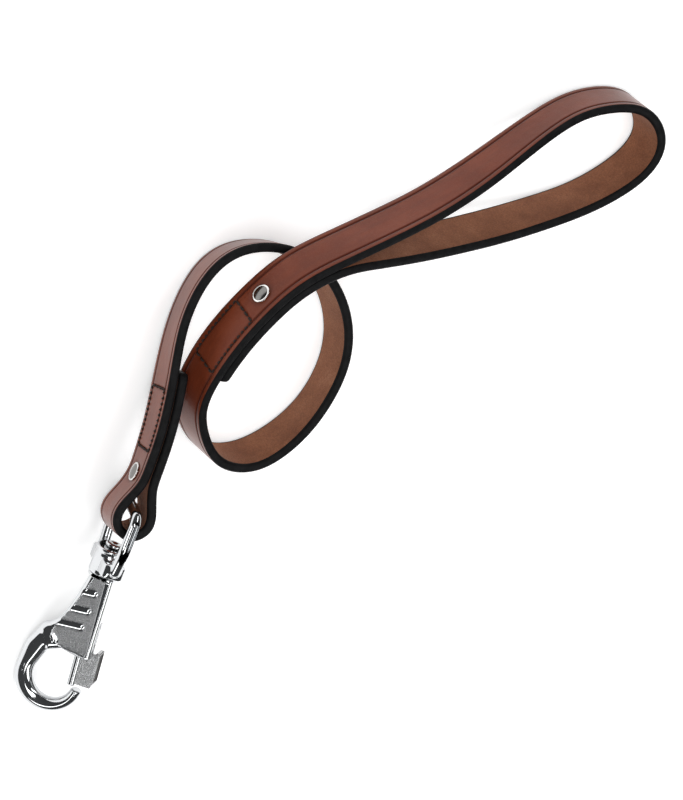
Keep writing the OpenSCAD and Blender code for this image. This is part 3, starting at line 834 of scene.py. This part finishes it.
# Where each rib starts, and how far it reaches.
RIBS = [(9.1, -4.3, 4.6), (17.2, -6.3, 6.6), (24.7, -9, 9.1)]
BODY_HALF, PANEL_DEPTH = 4.0, 0.8
BOLT_FOOT, BOLT_LEAN, BOLT_L = (47.2, 4.05), math.radians(6), 20.0
CLAW_OUTER = [(47.6, -4.9, 14.1), (39.5, -9.4, 9.3), (29.5, -12, 3)]
CLAW_MOUTH = ((47.3, -3.5, 8.1), (38.5, -6.3, 3))


def bolt_place(x, y):
    """Along and across the bolt's line from its free end."""
    dx, dy = x - BOLT_FOOT[0], y - BOLT_FOOT[1]
    c, s = math.cos(BOLT_LEAN), math.sin(BOLT_LEAN)
    return dx * c + dy * s, dy * c - dx * s


def rib_distance(rib, x, y, z):
    """One rounded rib that stands on the panel's floor."""
    a = math.radians(12)
    dx, dy = x - rib[0], y - rib[1]
    u, v = -dx * math.sin(a) + dy * math.cos(a), dx * math.cos(a) + dy * math.sin(a)
    half, rise = 1.75, 0.98
    past = u - np.clip(u, 0.4, rib[2])
    floor = BODY_HALF - PANEL_DEPTH - 0.1
    return (np.sqrt(v**2 + past**2 + ((z - floor) * half / rise) ** 2) - half) * rise / half


def body_field(x, y, z):
    """The body with its sunk ribbed panels, the claw, the collar, and the bolt's bore and slot."""
    high = np.abs(z)
    outline = polygon_distance(BODY, x, y)
    # The side away from the thumb has the wider round.
    body = meet(outline, high - BODY_HALF, 1.2 + 1.2 * np.clip(-y / 4, 0, 1))
    panel = polygon_distance(PANEL, x, y)
    sunk = meet(panel, BODY_HALF - PANEL_DEPTH - high, 0.25)
    body = meet(body, -sunk, 0.18)
    for rib in RIBS:
        body = join(body, meet(rib_distance(rib, x, y, high), outline + 1, 0.3), 0.25)
    mouth = stadium(*CLAW_MOUTH, x, y)
    # An oval section: rim_w is how far in from its edges the claw is still rounding.
    rim_w, rise = 3.3, 3.6
    inside = join(-circles_distance(CLAW_OUTER, x, y), mouth, 1.5)
    claw = (np.hypot(np.maximum(rim_w - inside, 0) / rim_w, high / rise) - 1) * rim_w
    tip = 47.9
    claw = meet(claw, np.minimum(tip - x, y + 6), 0.9)
    body = join(body, claw, 1.2)
    radial = np.hypot(y, z)
    body = join(body, barrel(x, radial, 0, 1.5, 5.8, 0.55), 0.5)
    u, v = bolt_place(x, y)
    bore = np.maximum(np.hypot(v, z) - 1.56, np.maximum(-36.3 - u, u + 2))
    slot = np.maximum(np.maximum(high - 1.3, -v), np.maximum(-27.6 - u, u + 8))
    body = meet(body, -bore, 0.2)
    return meet(body, -slot, 0.3)


def body_kinds(c):
    """The sunk panels have the casting's satin skin."""
    panel, high = polygon_distance(PANEL, c[:, 0], c[:, 1]), np.abs(c[:, 2])
    return ((panel < -0.1) & (high < BODY_HALF - PANEL_DEPTH + 0.2) & (high > 2.9)).astype(int)


field_piece("hook_body_cast", body_field, (-0.6, -20, -4.8), (62.6, 11.4, 4.8), 0.3, BODY_AXES,
            [CHROME, CAST], "snap", ["hook_body"], body_kinds)


# ---------------------------------------------------------------- the bolt and its thumb piece

BOLT_DIR = SNAP_DIR * math.cos(BOLT_LEAN) + THUMB_SIDE * math.sin(BOLT_LEAN)
BOLT_AXES = (
    COLLAR + BOLT_FOOT[0] * SNAP_DIR + BOLT_FOOT[1] * THUMB_SIDE, BOLT_DIR,
    np.cross(BROAD_SIDE, BOLT_DIR), BROAD_SIDE)


def rod_field(x, y, z):
    """The bolt, in axes at its free end with X along it."""
    return barrel(x, np.hypot(y, z), -BOLT_L, 0, 1.5, 0.35)


def thumb_field(x, y, z):
    """A web that stands on the bolt and the hollowed plate across it."""
    web = meet(np.maximum(-15 - x, x + 1), np.maximum(1 - y, y - 7.9), 0.4)
    web = meet(web, np.abs(z) - 1, 0.3)
    plate_flat = meet(np.maximum(-16.6 - x, x + 3.4), np.abs(z) - 3.8, 1.1)
    plate = meet(plate_flat, np.maximum(7.3 - y, y - 9), 0.35)
    hollow = meet(np.maximum(-15.9 - x, x + 4.1), np.abs(z) - 3.1, 0.8)
    plate = meet(plate, -meet(hollow, 8.72 - y, 0.1), 0.1)
    d = join(web, plate, 0.6)
    return meet(d, 1.5 - np.hypot(y, z), 0.1)


def thumb_kinds(c):
    """The hollow of the plate gets painted shade: a near-black metal."""
    return ((c[:, 1] > 8.6) & (c[:, 1] < 8.9) & (np.abs(c[:, 2]) < 3.2)).astype(int)


field_piece("bolt_rod_turned", rod_field, (-21, -2.2, -2.2), (1, 2.2, 2.2), 0.2, BOLT_AXES,
            [CHROME], "bolt", ["bolt_rod"])
field_piece("thumb_piece_pressed", thumb_field, (-17.4, 0, -4.6), (-0.2, 9.8, 4.6), 0.22, BOLT_AXES,
            [THUMB, THUMB_HOLLOW_SHADE], "bolt", ["thumb_piece"], thumb_kinds)

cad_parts["bolt_spring"].data.materials.clear()
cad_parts["bolt_spring"].data.materials.append(WIRE)


# ---------------------------------------------------------------- floor, light and world

def make_floor():
    """A pale floor that glows a little, so that shadows stay faint."""
    s = Shader("pale_floor")
    s.set(Base_Color=s.ramp(s.noise(0.004, 2, 0.5), (0.3, (0.9, 0.9, 0.9)), (0.7, (0.93, 0.93, 0.93))))
    s.set(Roughness=0.95, Specular_IOR_Level=0.1)
    s.set(Emission_Color=(1, 1, 1, 1), Emission_Strength=0.35)
    half = 6.0
    mesh = bpy.data.meshes.new("floor")
    corners = [(-half, -half, 0), (half, -half, 0), (half, half, 0), (-half, half, 0)]
    mesh.from_pydata(corners, [], [(0, 1, 2, 3)])
    mesh.materials.append(s.material)
    floor = bpy.data.objects.new("floor", mesh)
    bpy.context.scene.collection.objects.link(floor)


def softbox(name, azimuth, elevation, distance, size, watts, reflected=True):
    """An area light that looks at the middle of the leash. One that isn't reflected only fills."""
    a, e = math.radians(azimuth), math.radians(elevation)
    place = Vector((math.sin(a) * math.cos(e), -math.cos(a) * math.cos(e), math.sin(e))) * distance
    data = bpy.data.lights.new(name, "AREA")
    data.shape = "RECTANGLE"
    data.size, data.size_y = size
    data.energy = watts
    light = bpy.data.objects.new(name, data)
    light.location = place
    light.visible_glossy = reflected
    light.rotation_euler = place.to_track_quat("Z", "Y").to_euler()
    bpy.context.scene.collection.objects.link(light)


def make_world():
    """A dim grey all round."""
    world = bpy.data.worlds.new("studio")
    world.use_nodes = True
    background = world.node_tree.nodes["Background"]
    background.inputs["Color"].default_value = (0.9, 0.92, 0.95, 1)
    background.inputs["Strength"].default_value = 0.07
    bpy.context.scene.world = world


make_floor()
make_world()
softbox("fill_box", 0, 89, 2.0, (3.0, 3.0), 32, reflected=False)
softbox("back_box", 180, 62, 1.6, (1.5, 0.5), 9)
softbox("front_box", 10, 62, 1.7, (1.5, 0.4), 8)
softbox("left_box", -75, 38, 1.8, (0.35, 1.2), 5)
softbox("right_box", 85, 38, 1.8, (0.35, 1.2), 5)
bpy.context.scene.view_settings.view_transform = "Standard"
